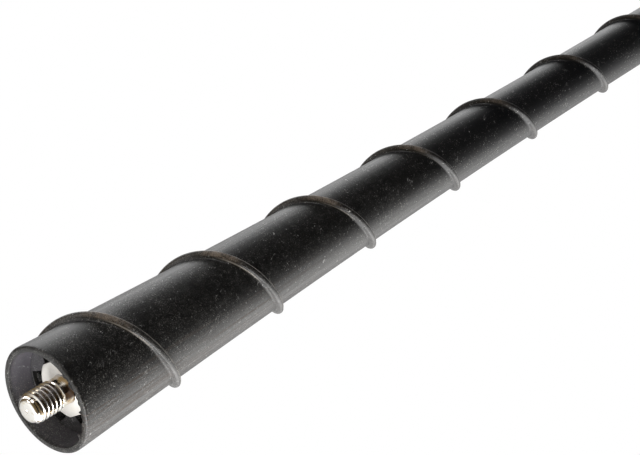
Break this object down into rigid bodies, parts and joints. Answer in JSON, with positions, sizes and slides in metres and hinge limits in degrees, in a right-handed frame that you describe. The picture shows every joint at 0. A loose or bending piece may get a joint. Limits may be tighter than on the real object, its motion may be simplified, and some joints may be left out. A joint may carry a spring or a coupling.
{
  "type": "car mast aerial",
  "caption": "Tapering moulded rubber car aerial mast with a raised helical rib, screwed to its roof base by a threaded metal stud in the mouth.",
  "frame": {"origin": "centre of the mouth's rim face, on the stud's axis", "axes": "+Z runs along the mast from the mouth to the tip, -Z is the way the stud points"},
  "size_m": [0.0189, 0.0184, 0.4036],
  "materials": {
    "jacket_rubber": "satin black moulded rubber with dust specks and fine scuffs",
    "nickel_plate": "bright nickel plate on turned brass",
    "glass_fibre": "pale resin-bonded glass-fibre rod",
    "enamelled_copper": "enamelled copper wire",
    "shrink_tube": "matt black shrunk tube"
  },
  "bodies": {
    "root": {"jacket": "jacket_rubber", "stud_ferrule": "nickel_plate", "core_rod": "glass_fibre", "winding": "enamelled_copper", "winding_sleeve": "shrink_tube"}
  },
  "joints": []
}
